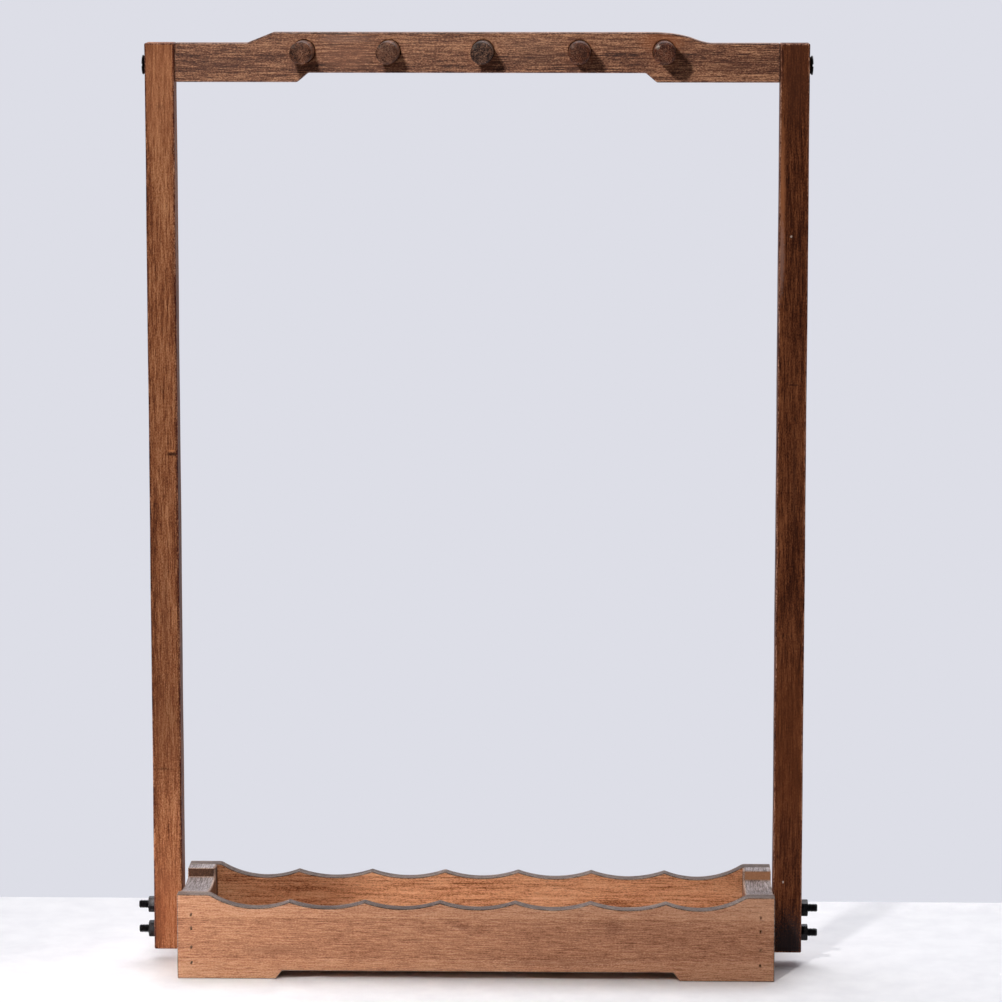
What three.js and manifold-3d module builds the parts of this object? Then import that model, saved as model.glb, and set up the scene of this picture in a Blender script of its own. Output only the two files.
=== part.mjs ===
// Bamboo brush rack: a scalloped tray carries two square posts, and a shaped crossbar with
// hanging pegs joins the posts at the top. Millimetres, +Z up, +X right, the front is -Y.
// The origin is on the table, under the middle of the rack.
import * as THREE from "three";
import { mergeVertices } from "three/addons/utils/BufferGeometryUtils.js";
import Module from "manifold-3d";

// Tray: two long boards, two end blocks between them, and a floor panel inside.
const TRAY_LENGTH = 285;
const TRAY_DEPTH = 72;
const BOARD_THICKNESS = 7;
const BOARD_HEIGHT = 41;
const END_THICKNESS = 13.5;
const FLOOR_UNDERSIDE = 5;
const FLOOR_THICKNESS = 5;

// Scalloped top edge of the boards: equal arcs that meet in cusps, and a tighter arc at each end.
const CUSP_COUNT = 6;
const CUSP_PITCH = 35.9;
const CUSP_SHIFT = 1;
const CUSP_DROP = 3.4;
const VALLEY_DROP = 6.5;
const END_ARC_RADIUS = 42;
const SHOULDER_RADIUS = 4;

// Low cut-out that leaves a foot at each end of a board.
const CUTOUT_HALF_LENGTH = 93.5;
const CUTOUT_SLOPE = 3;
const CUTOUT_HEIGHT = 4;

// Dished top of an end block: a flat land at the back, a small step down, then a shallow arc.
const LAND_DEPTH = 9;
const STEP_DROP = 4.4;
const DISH_SAGITTA = 2.2;

// Posts stand against the tray's ends, a little clear of the table.
const POST_SIDE = 14;
const POST_CHAMFER = 0.8;
const POST_FOOT = 7;
const POST_TOP = 444;

// Crossbar between the posts: its middle is raised above its ends.
const BAR_THICKNESS = 8.5;
const BAR_END_BOTTOM = 425.6;
const BAR_END_TOP = 444;
const BAR_MIDDLE_BOTTOM = 430;
const BAR_MIDDLE_TOP = 449;
const BAR_UNDERCUT = { inner: 79.5, outer: 84.7 };
const LEFT_SHOULDER = { inner: 95.9, outer: 108.4 };
const RIGHT_SHOULDER = { inner: 82, corner: 93, halfway: 101, foot: 107, outer: 111 };

// Hanging pegs, glued into blind bores in the crossbar's front face.
const PEG_POSITIONS = [-81.4, -41.2, 2.9, 48.4, 88.1];
const PEG_HEIGHT = 440.2;
const PEG_RADIUS = 5.2;
const PEG_PROTRUSION = 25;
const PEG_CHAMFER = 1.2;
const PEG_SEAT = 6;

// Slotted countersunk screws, through the posts into the crossbar's ends, left a little proud.
const TOP_SCREW = { height: 433.6, length: 45, proud: 1.9, headRadius: 4.6, rim: 0.8 };
const TOP_SCREW_SHANK = { radius: 2.1, tip: 5 };
const SLOT = { width: 1.2, depth: 0.6 };

// Lower machine bolts, from inside the tray out through the end block and the post. Each nut
// stands with a corner up, turned by a few degrees from there.
const BOLT_HEIGHTS = { upper: 27.7, lower: 15.6 };
const BOLT = { radius: 2, length: 35.3, tip: 0.4 };
const BOLT_HEAD = { radius: 4, crown: 3, rim: 0.9, height: 2.6 };
const NUT = { acrossFlats: 7, thickness: 3.2, chamfer: 0.35 };
const NUT_TURN = { left_upper: 0, left_lower: 6, right_upper: 20, right_lower: 3 };

// Brads that pin each board to the end blocks.
const BRAD_HEIGHTS = [31.3, 24.6, 15.4, 7.8];
const BRAD = { radius: 0.6, headRadius: 1, headHeight: 0.6, length: 19, sunk: 0.4, tip: 1.5 };

// Room left round a piece that sits in another: tight fits and hidden clearances.
const FIT_GAP = 0.15;
const HOLE_GAP = 0.3;

// How finely curves are divided, and how far a cutting tool runs past the face that it opens.
const ROUND_SEGMENTS = 20;
const SMALL_SEGMENTS = 8;
const NUT_SEGMENTS = 24;
const SCALLOP_STEPS = 8;
const END_ARC_STEPS = 9;
const SHOULDER_STEPS = 3;
const DISH_STEPS = 10;
const BAR_CURVE_STEPS = 6;
const CUT_PAST = 2;

const X = new THREE.Vector3(1, 0, 0);
const Y = new THREE.Vector3(0, 1, 0);
const Z = new THREE.Vector3(0, 0, 1);
const negative = (axis) => axis.clone().negate();

// Turns that carry a drawn outline or a turned profile into the rack's frame.
const OUTLINE_IN_FRONT_VIEW = new THREE.Matrix4().makeBasis(X, Z, negative(Y));
const OUTLINE_IN_SIDE_VIEW = new THREE.Matrix4().makeBasis(Y, Z, X);
const TURNED_TOWARDS = {
  front: new THREE.Matrix4().makeBasis(X, negative(Y), negative(Z)),
  back: new THREE.Matrix4().makeBasis(negative(X), Y, negative(Z)),
  right: new THREE.Matrix4().makeBasis(negative(Y), X, Z),
  left: new THREE.Matrix4().makeBasis(Y, negative(X), Z),
};

const FINISH = {
  postBamboo: { color: 0x7a4c33, roughness: 0.6, metalness: 0 },
  barBamboo: { color: 0x74503e, roughness: 0.6, metalness: 0 },
  trayBamboo: { color: 0xa56f4f, roughness: 0.6, metalness: 0 },
  pegWood: { color: 0x55403a, roughness: 0.7, metalness: 0 },
  blackSteel: { color: 0x17171a, roughness: 0.4, metalness: 0.8 },
  bradSteel: { color: 0x3d3a38, roughness: 0.5, metalness: 0.9 },
};

const wasm = await Module();
wasm.setup();

function toSolid(geometry) {
  const bare = geometry.clone();
  bare.deleteAttribute("normal");
  bare.deleteAttribute("uv");
  const merged = mergeVertices(bare);
  const vertProperties = new Float32Array(merged.attributes.position.array);
  const triVerts = new Uint32Array(merged.index.array);
  return new wasm.Manifold(new wasm.Mesh({ numProp: 3, vertProperties, triVerts }));
}

function toGeometry(solid) {
  const mesh = solid.getMesh();
  const geometry = new THREE.BufferGeometry();
  geometry.setAttribute("position", new THREE.BufferAttribute(new Float32Array(mesh.vertProperties), 3));
  geometry.setIndex(new THREE.BufferAttribute(new Uint32Array(mesh.triVerts), 1));
  geometry.computeVertexNormals();
  return geometry;
}

function cut(geometry, tools) {
  const body = toSolid(geometry);
  return toGeometry(tools.reduce((left, tool) => left.subtract(toSolid(tool)), body));
}

function outline(points) {
  return new THREE.Shape(points.map(([u, v]) => new THREE.Vector2(u, v)));
}

// A flat board whose outline is drawn in the front view (x, z), from y = front backwards.
function boardFromFront(shape, front, thickness) {
  const geometry = new THREE.ExtrudeGeometry(shape, { depth: thickness, bevelEnabled: false });
  return geometry.applyMatrix4(OUTLINE_IN_FRONT_VIEW).translate(0, front + thickness, 0);
}

// A block whose outline is drawn in the side view (y, z), from x = left to the right.
function blockFromSide(shape, left, thickness) {
  const geometry = new THREE.ExtrudeGeometry(shape, { depth: thickness, bevelEnabled: false });
  return geometry.applyMatrix4(OUTLINE_IN_SIDE_VIEW).translate(left, 0, 0);
}

// A turned piece. The profile lists [radius, distance along the axis], from start to end.
function turned(profile, direction, x, y, z, segments = ROUND_SEGMENTS) {
  const points = profile.map(([radius, along]) => new THREE.Vector2(radius, along));
  const geometry = new THREE.LatheGeometry(points, segments);
  return geometry.applyMatrix4(TURNED_TOWARDS[direction]).translate(x, y, z);
}

function rod(radius, from, to) {
  return [[0, from], [radius, from], [radius, to], [0, to]];
}

const rack = new THREE.Group();

function place(name, geometry, finish) {
  const mesh = new THREE.Mesh(geometry, new THREE.MeshStandardMaterial(finish));
  mesh.name = name;
  rack.add(mesh);
}

// ---- Scalloped boards -------------------------------------------------------------------

// Points after fromX, up to toX, on the lower or the upper side of a circle.
function arcBetween(fromX, toX, circle, side, steps) {
  const points = [];
  for (let step = 1; step <= steps; step += 1) {
    const x = fromX + ((toX - fromX) * step) / steps;
    points.push([x, circle.z + side * Math.sqrt(circle.radius ** 2 - (x - circle.x) ** 2)]);
  }
  return points;
}

function scallopedTop() {
  const valley = BOARD_HEIGHT - VALLEY_DROP;
  const rise = VALLEY_DROP - CUSP_DROP;
  const halfPitch = CUSP_PITCH / 2;
  const arcRadius = (halfPitch ** 2 + rise ** 2) / (2 * rise);
  const endReach = Math.sqrt(2 * END_ARC_RADIUS * rise - rise ** 2);
  const centreDistance = END_ARC_RADIUS + SHOULDER_RADIUS;
  const centreFall = valley + END_ARC_RADIUS - (BOARD_HEIGHT - SHOULDER_RADIUS);
  const shoulderReach = Math.sqrt(centreDistance ** 2 - centreFall ** 2);
  const tangentReach = (shoulderReach * END_ARC_RADIUS) / centreDistance;

  const firstCusp = CUSP_SHIFT - ((CUSP_COUNT - 1) * CUSP_PITCH) / 2;
  const lastCusp = firstCusp + (CUSP_COUNT - 1) * CUSP_PITCH;
  const leftValley = firstCusp - endReach;
  const rightValley = lastCusp + endReach;
  const leftFlat = leftValley - shoulderReach;
  const rightFlat = rightValley + shoulderReach;
  const shoulder = (x) => ({ x, z: BOARD_HEIGHT - SHOULDER_RADIUS, radius: SHOULDER_RADIUS });
  const endArc = (x) => ({ x, z: valley + END_ARC_RADIUS, radius: END_ARC_RADIUS });
  const scallop = (x) => ({ x, z: valley + arcRadius, radius: arcRadius });

  const points = [[leftFlat, BOARD_HEIGHT]];
  points.push(...arcBetween(leftFlat, leftValley - tangentReach, shoulder(leftFlat), 1, SHOULDER_STEPS));
  points.push(...arcBetween(leftValley - tangentReach, firstCusp, endArc(leftValley), -1, END_ARC_STEPS));
  for (let index = 0; index < CUSP_COUNT - 1; index += 1) {
    const cusp = firstCusp + index * CUSP_PITCH;
    points.push(...arcBetween(cusp, cusp + CUSP_PITCH, scallop(cusp + halfPitch), -1, SCALLOP_STEPS));
  }
  points.push(...arcBetween(lastCusp, rightValley + tangentReach, endArc(rightValley), -1, END_ARC_STEPS));
  points.push(...arcBetween(rightValley + tangentReach, rightFlat, shoulder(rightFlat), 1, SHOULDER_STEPS));
  return points;
}

function boardOutline() {
  const end = TRAY_LENGTH / 2;
  const foot = CUTOUT_HALF_LENGTH + CUTOUT_SLOPE;
  return outline([
    [-end, 0],
    [CUSP_SHIFT - foot, 0],
    [CUSP_SHIFT - CUTOUT_HALF_LENGTH, CUTOUT_HEIGHT],
    [CUSP_SHIFT + CUTOUT_HALF_LENGTH, CUTOUT_HEIGHT],
    [CUSP_SHIFT + foot, 0],
    [end, 0],
    [end, BOARD_HEIGHT],
    ...scallopedTop().reverse(),
    [-end, BOARD_HEIGHT],
  ]);
}

// A brad, or with a gap the hole that holds it. It is driven from the outer face of a board.
function bradShape(gap, direction, x, y, z) {
  const shank = BRAD.radius + gap;
  const head = BRAD.headRadius + gap;
  const outside = gap > 0 ? -CUT_PAST : 0;
  const profile = [
    [0, outside],
    [head, outside],
    [head, BRAD.headHeight + gap],
    [shank, BRAD.headHeight + gap],
    [shank, BRAD.length - BRAD.tip + gap],
    [0, BRAD.length + gap],
  ];
  return turned(profile, direction, x, y, z, SMALL_SEGMENTS);
}

const halfDepth = TRAY_DEPTH / 2;
const endCentreX = (TRAY_LENGTH - END_THICKNESS) / 2;
const sides = { left: -1, right: 1 };
const brads = [];
for (const [side, sign] of Object.entries(sides)) {
  BRAD_HEIGHTS.forEach((height, index) => {
    const x = sign * endCentreX;
    const start = halfDepth - BRAD.sunk;
    const name = `${side}_brad_${index + 1}`;
    brads.push({ name: `front_${name}`, board: "front", side, at: ["back", x, -start, height] });
    brads.push({ name: `back_${name}`, board: "back", side, at: ["front", x, start, height] });
  });
}

function bradHoles(key, value) {
  return brads.filter((brad) => brad[key] === value).map((brad) => bradShape(HOLE_GAP, ...brad.at));
}

const frontBoard = boardFromFront(boardOutline(), -halfDepth, BOARD_THICKNESS);
const backBoard = boardFromFront(boardOutline(), halfDepth - BOARD_THICKNESS, BOARD_THICKNESS);
place("tray_front_board", cut(frontBoard, bradHoles("board", "front")), FINISH.trayBamboo);
place("tray_back_board", cut(backBoard, bradHoles("board", "back")), FINISH.trayBamboo);
brads.forEach((brad) => place(brad.name, bradShape(0, ...brad.at), FINISH.bradSteel));

// ---- End blocks and floor ---------------------------------------------------------------

function endBlockOutline() {
  const inside = halfDepth - BOARD_THICKNESS;
  const land = inside - LAND_DEPTH;
  const low = BOARD_HEIGHT - STEP_DROP;
  const dish = [];
  for (let step = 0; step < DISH_STEPS; step += 1) {
    const t = step / DISH_STEPS;
    const y = land + (-inside - land) * t;
    dish.push([y, low + STEP_DROP * t - DISH_SAGITTA * 4 * t * (1 - t)]);
  }
  return outline([
    [-inside, 0],
    [inside, 0],
    [inside, BOARD_HEIGHT],
    [land, BOARD_HEIGHT],
    ...dish,
    [-inside, BOARD_HEIGHT],
  ]);
}

function boltHoles(sign) {
  const from = -CUT_PAST;
  const to = END_THICKNESS + POST_SIDE + CUT_PAST;
  const profile = rod(BOLT.radius + HOLE_GAP, from, to);
  const start = TRAY_LENGTH / 2 - END_THICKNESS;
  const direction = sign < 0 ? "left" : "right";
  return Object.values(BOLT_HEIGHTS).map((height) => turned(profile, direction, sign * start, 0, height));
}

for (const [side, sign] of Object.entries(sides)) {
  const left = sign < 0 ? -TRAY_LENGTH / 2 : TRAY_LENGTH / 2 - END_THICKNESS;
  const block = blockFromSide(endBlockOutline(), left, END_THICKNESS);
  const holes = [...boltHoles(sign), ...bradHoles("side", side)];
  place(`tray_${side}_end`, cut(block, holes), FINISH.trayBamboo);
}

const floorPanel = new THREE.BoxGeometry(
  TRAY_LENGTH - 2 * END_THICKNESS,
  TRAY_DEPTH - 2 * BOARD_THICKNESS,
  FLOOR_THICKNESS,
).translate(0, 0, FLOOR_UNDERSIDE + FLOOR_THICKNESS / 2);
place("tray_floor", floorPanel, FINISH.trayBamboo);

// ---- Posts and their fasteners ----------------------------------------------------------

function postOutline() {
  const half = POST_SIDE / 2;
  const eased = half - POST_CHAMFER;
  return outline([
    [-eased, -half],
    [eased, -half],
    [half, -eased],
    [half, eased],
    [eased, half],
    [-eased, half],
    [-half, eased],
    [-half, -eased],
  ]);
}

// The screw runs inwards from its head, so its profile starts outside the post.
function topScrew(gap, sign) {
  const head = TOP_SCREW.headRadius + gap;
  const shank = TOP_SCREW_SHANK.radius + gap;
  const coneEnd = TOP_SCREW.rim + TOP_SCREW.headRadius - TOP_SCREW_SHANK.radius;
  const outside = gap > 0 ? -CUT_PAST : 0;
  const profile = [
    [0, outside],
    [head, outside],
    [head, TOP_SCREW.rim],
    [shank, coneEnd],
    [shank, TOP_SCREW.length - TOP_SCREW_SHANK.tip + gap],
    [0, TOP_SCREW.length + gap],
  ];
  const start = TRAY_LENGTH / 2 + POST_SIDE + TOP_SCREW.proud;
  return turned(profile, sign < 0 ? "right" : "left", sign * start, 0, TOP_SCREW.height);
}

function hexNut(side, level) {
  const cornerRadius = NUT.acrossFlats / Math.sqrt(3);
  const profile = [
    [BOLT.radius + FIT_GAP, 0],
    [cornerRadius - NUT.chamfer, 0],
    [cornerRadius, NUT.chamfer],
    [cornerRadius, NUT.thickness - NUT.chamfer],
    [cornerRadius - NUT.chamfer, NUT.thickness],
    [BOLT.radius + FIT_GAP, NUT.thickness],
    [BOLT.radius + FIT_GAP, 0],
  ];
  const points = profile.map(([radius, along]) => new THREE.Vector2(radius, along));
  const turnedNut = new THREE.LatheGeometry(points, NUT_SEGMENTS);
  const hexagon = new THREE.CylinderGeometry(cornerRadius, cornerRadius, 2 * NUT.thickness, 6);
  hexagon.rotateY(THREE.MathUtils.degToRad(NUT_TURN[`${side}_${level}`]));
  const nut = toGeometry(toSolid(turnedNut).intersect(toSolid(hexagon)));
  const postFace = TRAY_LENGTH / 2 + POST_SIDE;
  return nut.applyMatrix4(TURNED_TOWARDS[side]).translate(sides[side] * postFace, 0, BOLT_HEIGHTS[level]);
}

function machineBolt(side, level) {
  const profile = [
    [0, -BOLT_HEAD.height],
    [BOLT_HEAD.crown, -BOLT_HEAD.height],
    [BOLT_HEAD.radius, -BOLT_HEAD.rim],
    [BOLT_HEAD.radius, 0],
    [BOLT.radius, 0],
    [BOLT.radius, BOLT.length - BOLT.tip],
    [BOLT.radius - BOLT.tip, BOLT.length],
    [0, BOLT.length],
  ];
  const inner = TRAY_LENGTH / 2 - END_THICKNESS;
  return turned(profile, side, sides[side] * inner, 0, BOLT_HEIGHTS[level]);
}

for (const [side, sign] of Object.entries(sides)) {
  const length = POST_TOP - POST_FOOT;
  const post = new THREE.ExtrudeGeometry(postOutline(), { depth: length, bevelEnabled: false });
  post.translate((sign * (TRAY_LENGTH + POST_SIDE)) / 2, 0, POST_FOOT);
  place(`${side}_post`, cut(post, [...boltHoles(sign), topScrew(HOLE_GAP, sign)]), FINISH.postBamboo);

  const slotReach = 2 * TOP_SCREW.headRadius + CUT_PAST;
  const head = TRAY_LENGTH / 2 + POST_SIDE + TOP_SCREW.proud;
  const slot = new THREE.BoxGeometry(2 * SLOT.depth, slotReach, SLOT.width);
  slot.translate(sign * head, 0, TOP_SCREW.height);
  place(`${side}_top_screw`, cut(topScrew(0, sign), [slot]), FINISH.blackSteel);

  for (const level of Object.keys(BOLT_HEIGHTS)) {
    place(`${side}_${level}_bolt`, machineBolt(side, level), FINISH.blackSteel);
    place(`${side}_${level}_nut`, hexNut(side, level), FINISH.blackSteel);
  }
}

// ---- Crossbar and pegs ------------------------------------------------------------------

function barOutline() {
  const end = TRAY_LENGTH / 2;
  const shape = new THREE.Shape();
  shape.moveTo(-end, BAR_END_BOTTOM);
  shape.lineTo(-BAR_UNDERCUT.outer, BAR_END_BOTTOM);
  shape.lineTo(-BAR_UNDERCUT.inner, BAR_MIDDLE_BOTTOM);
  shape.lineTo(BAR_UNDERCUT.inner, BAR_MIDDLE_BOTTOM);
  shape.lineTo(BAR_UNDERCUT.outer, BAR_END_BOTTOM);
  shape.lineTo(end, BAR_END_BOTTOM);
  shape.lineTo(end, BAR_END_TOP);
  shape.lineTo(RIGHT_SHOULDER.outer, BAR_END_TOP);
  const halfwayUp = (BAR_END_TOP + BAR_MIDDLE_TOP) / 2;
  shape.quadraticCurveTo(RIGHT_SHOULDER.foot, BAR_END_TOP, RIGHT_SHOULDER.halfway, halfwayUp);
  shape.quadraticCurveTo(RIGHT_SHOULDER.corner, BAR_MIDDLE_TOP, RIGHT_SHOULDER.inner, BAR_MIDDLE_TOP);
  shape.lineTo(-LEFT_SHOULDER.inner, BAR_MIDDLE_TOP);
  shape.lineTo(-LEFT_SHOULDER.outer, BAR_END_TOP);
  shape.lineTo(-end, BAR_END_TOP);
  return new THREE.Shape(shape.getPoints(BAR_CURVE_STEPS));
}

const barFront = -BAR_THICKNESS / 2;
const pegBores = PEG_POSITIONS.map((x) => {
  const bore = rod(PEG_RADIUS + FIT_GAP, -PEG_SEAT - FIT_GAP, CUT_PAST);
  return turned(bore, "front", x, barFront, PEG_HEIGHT);
});
const screwHoles = Object.values(sides).map((sign) => topScrew(HOLE_GAP, sign));
const bar = boardFromFront(barOutline(), barFront, BAR_THICKNESS);
place("crossbar", cut(bar, [...pegBores, ...screwHoles]), FINISH.barBamboo);

PEG_POSITIONS.forEach((x, index) => {
  const profile = [
    [0, -PEG_SEAT],
    [PEG_RADIUS, -PEG_SEAT],
    [PEG_RADIUS, PEG_PROTRUSION - PEG_CHAMFER],
    [PEG_RADIUS - PEG_CHAMFER, PEG_PROTRUSION],
    [0, PEG_PROTRUSION],
  ];
  place(`hanging_peg_${index + 1}`, turned(profile, "front", x, barFront, PEG_HEIGHT), FINISH.pegWood);
});

export default rack;
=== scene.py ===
import math

import bpy
from mathutils import Matrix, Vector


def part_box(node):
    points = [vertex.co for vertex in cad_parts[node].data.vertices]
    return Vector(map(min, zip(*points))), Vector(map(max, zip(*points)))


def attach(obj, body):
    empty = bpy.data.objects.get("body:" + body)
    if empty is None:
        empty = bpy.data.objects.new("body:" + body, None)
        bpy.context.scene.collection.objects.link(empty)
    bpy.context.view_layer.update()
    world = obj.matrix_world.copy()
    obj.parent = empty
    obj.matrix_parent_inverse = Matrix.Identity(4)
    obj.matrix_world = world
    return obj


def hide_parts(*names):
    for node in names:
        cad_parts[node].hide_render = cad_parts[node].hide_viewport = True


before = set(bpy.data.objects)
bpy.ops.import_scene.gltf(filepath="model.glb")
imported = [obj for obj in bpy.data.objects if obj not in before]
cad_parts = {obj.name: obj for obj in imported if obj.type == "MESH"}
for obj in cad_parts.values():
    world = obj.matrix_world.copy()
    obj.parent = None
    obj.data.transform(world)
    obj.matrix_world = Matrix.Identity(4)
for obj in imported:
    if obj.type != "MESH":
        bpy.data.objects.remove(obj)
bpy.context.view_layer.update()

MM = 0.001

# ---- Tray boards ------------------------------------------------------------------------
# The tray's front and back are bamboo boards sawn to one outline. A drum sander leaves the
# equal scallops of the top edge and a saw opens the low gap between the feet. The boards are
# stained light brown, then the arrises are rubbed down by hand. The rubbed arrises and the
# upward faces share a greyer finish, which is partly wear and partly a painted sheen.

SCALLOP_PITCH = 35.9
CUSP_COUNT = 6
SCALLOP_SHIFT = 1.0
VALLEY_DROP = 6.5
CUSP_DROP = 3.4
END_SCALLOP_RADIUS = 42
SHOULDER_RADIUS = 4
FEET_GAP_HALF = 93.5
FEET_GAP_SLOPE = 3
FEET_GAP_HEIGHT = 4
BOARD_COLUMNS = 380
BOARD_ARRIS = 0.4

ALONG = {"X": Vector((1, 0, 0)), "Y": Vector((0, 1, 0)), "Z": Vector((0, 0, 1))}


def touch(*pieces):
    """Leaves just these pieces selected, and the first one active."""
    if bpy.context.object and bpy.context.object.mode != "OBJECT":
        bpy.ops.object.mode_set(mode="OBJECT")
    bpy.ops.object.select_all(action="DESELECT")
    for piece in pieces:
        piece.select_set(True)
    bpy.context.view_layer.objects.active = pieces[0] if pieces else None


def settle(name):
    """Names the piece just added, and puts its place and its turn into its mesh."""
    piece = bpy.context.object
    piece.name = piece.data.name = name
    bpy.ops.object.transform_apply(location=True, rotation=True, scale=True)
    return piece


def close_seams(piece):
    """Merges what meets in one place and turns every face outwards."""
    touch(piece)
    bpy.ops.object.mode_set(mode="EDIT")
    bpy.ops.mesh.select_all(action="SELECT")
    bpy.ops.mesh.remove_doubles(threshold=1e-6)
    bpy.ops.mesh.normals_make_consistent(inside=False)
    bpy.ops.object.mode_set(mode="OBJECT")


def apply_modifier(piece, kind, **values):
    touch(piece)
    modifier = piece.modifiers.new(kind.lower(), kind)
    for key, value in values.items():
        setattr(modifier, key, value)
    bpy.ops.object.modifier_apply(modifier=modifier.name)


def fretwork(name, start, end, columns, corners, lower, upper, near, far, axis="X"):
    """A board sawn to a lower and an upper edge, each a height for every place along it, in mm.
    Its columns are evenly spaced, but one stands exactly at each corner of the outline."""
    touch()
    bpy.ops.mesh.primitive_grid_add(x_subdivisions=columns, y_subdivisions=2, size=1)
    board = settle(name)
    spacing = (end - start) / columns
    places = [start + spacing * index for index in range(columns + 1)]
    for corner in corners:
        places[round((corner - start) / spacing)] = corner
    across = ALONG["Y" if axis == "X" else "X"] * near
    for vertex in board.data.vertices:
        along = places[round((vertex.co.x + 0.5) * columns)]
        share = vertex.co.y + 0.5
        height = lower(along) + (upper(along) - lower(along)) * share
        vertex.co = (ALONG[axis] * along + across + ALONG["Z"] * height) * MM
    touch(board)
    bpy.ops.object.mode_set(mode="EDIT")
    bpy.ops.mesh.select_all(action="SELECT")
    thick = ALONG["Y" if axis == "X" else "X"] * (far - near) * MM
    bpy.ops.mesh.extrude_region_move(TRANSFORM_OT_translate={"value": thick})
    bpy.ops.object.mode_set(mode="OBJECT")
    close_seams(board)
    return board


def wear(piece, width, steps=3, sharper_than=30):
    """Rounds every sharp arris. The rounded faces take the piece's second, rubbed finish."""
    apply_modifier(
        piece, "BEVEL", width=width * MM, segments=steps, limit_method="ANGLE",
        angle_limit=math.radians(sharper_than), material=1, use_clamp_overlap=False,
    )


def smooth(piece, flatter_than=40):
    """Shades the round places smooth and keeps the flat faces flat."""
    touch(piece)
    bpy.ops.object.shade_smooth_by_angle(angle=math.radians(flatter_than), keep_sharp_edges=False)
    apply_modifier(piece, "WEIGHTED_NORMAL", keep_sharp=True)


def carve(piece, tool, operation="DIFFERENCE"):
    """Cuts a tool's shape out of a piece, or keeps what the two share, and uses up the tool."""
    apply_modifier(piece, "BOOLEAN", object=tool, operation=operation, solver="EXACT")
    bpy.data.objects.remove(tool)


def finish_in(piece, *finishes):
    for finish in finishes:
        piece.data.materials.append(finish)


def paint_sheen_on_top(piece, index, least_rise=0.6):
    """Gives the faces that look upwards another of the piece's finishes: a greyer one, a painted
    sheen.
    """
    for polygon in piece.data.polygons:
        if polygon.normal.z > least_rise:
            polygon.material_index = index


def hand_over(piece, slot, *nodes):
    """Puts a piece on the rack's one body, in place of its CAD nodes."""
    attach(piece, "root")
    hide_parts(*nodes)


def seen(red, green, blue):
    """A colour as the eye sees it, 0 to 255, given as the shader's linear one."""
    shares = [value / 255 for value in (red, green, blue)]
    linear = [s / 12.92 if s <= 0.04045 else ((s + 0.055) / 1.055) ** 2.4 for s in shares]
    return (*linear, 1)


def feed(tree, socket, value):
    if isinstance(value, bpy.types.NodeSocket):
        tree.links.new(value, socket)
    else:
        socket.default_value = value


def maths(tree, operation, *values):
    node = tree.nodes.new("ShaderNodeMath")
    node.operation = operation
    for socket, value in zip(node.inputs, values):
        feed(tree, socket, value)
    return node.outputs[0]


def mapped(tree, vector, scale=(1, 1, 1), shift=(0, 0, 0)):
    node = tree.nodes.new("ShaderNodeMapping")
    feed(tree, node.inputs["Vector"], vector)
    node.inputs["Scale"].default_value = scale
    node.inputs["Location"].default_value = shift
    return node.outputs[0]


def noise(tree, vector, detail=3.0, roughness=0.55):
    node = tree.nodes.new("ShaderNodeTexNoise")
    feed(tree, node.inputs["Vector"], vector)
    node.inputs["Scale"].default_value = 1
    node.inputs["Detail"].default_value = detail
    node.inputs["Roughness"].default_value = roughness
    return node.outputs["Fac"]


def fade(tree, value, low, high, start=0.0, end=1.0):
    """Follows a value from low to high with a smooth change from start to end."""
    node = tree.nodes.new("ShaderNodeMapRange")
    node.interpolation_type = "SMOOTHSTEP"
    for socket, given in zip(node.inputs, (value, low, high, start, end)):
        feed(tree, socket, given)
    return node.outputs[0]


def tint(tree, share, under, over):
    node = tree.nodes.new("ShaderNodeMix")
    node.data_type = "RGBA"
    feed(tree, node.inputs[0], share)
    feed(tree, node.inputs[6], under)
    feed(tree, node.inputs[7], over)
    return node.outputs[2]


def ramp(tree, value, stops):
    node = tree.nodes.new("ShaderNodeValToRGB")
    feed(tree, node.inputs[0], value)
    elements = node.color_ramp.elements
    while len(elements) < len(stops):
        elements.new(0.5)
    for element, (place, colour) in zip(elements, stops):
        element.position = place
        element.color = colour
    return node.outputs[0]


def roughen(tree, surface, height, distance, strength):
    node = tree.nodes.new("ShaderNodeBump")
    feed(tree, node.inputs["Height"], height)
    node.inputs["Distance"].default_value = distance * MM
    node.inputs["Strength"].default_value = strength
    tree.links.new(node.outputs[0], surface.inputs["Normal"])


def along_grain(grain, along, across):
    """Scales of a pattern, in repeats per metre, that is long along the grain."""
    return [along if axis == grain else across for axis in "XYZ"]


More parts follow.
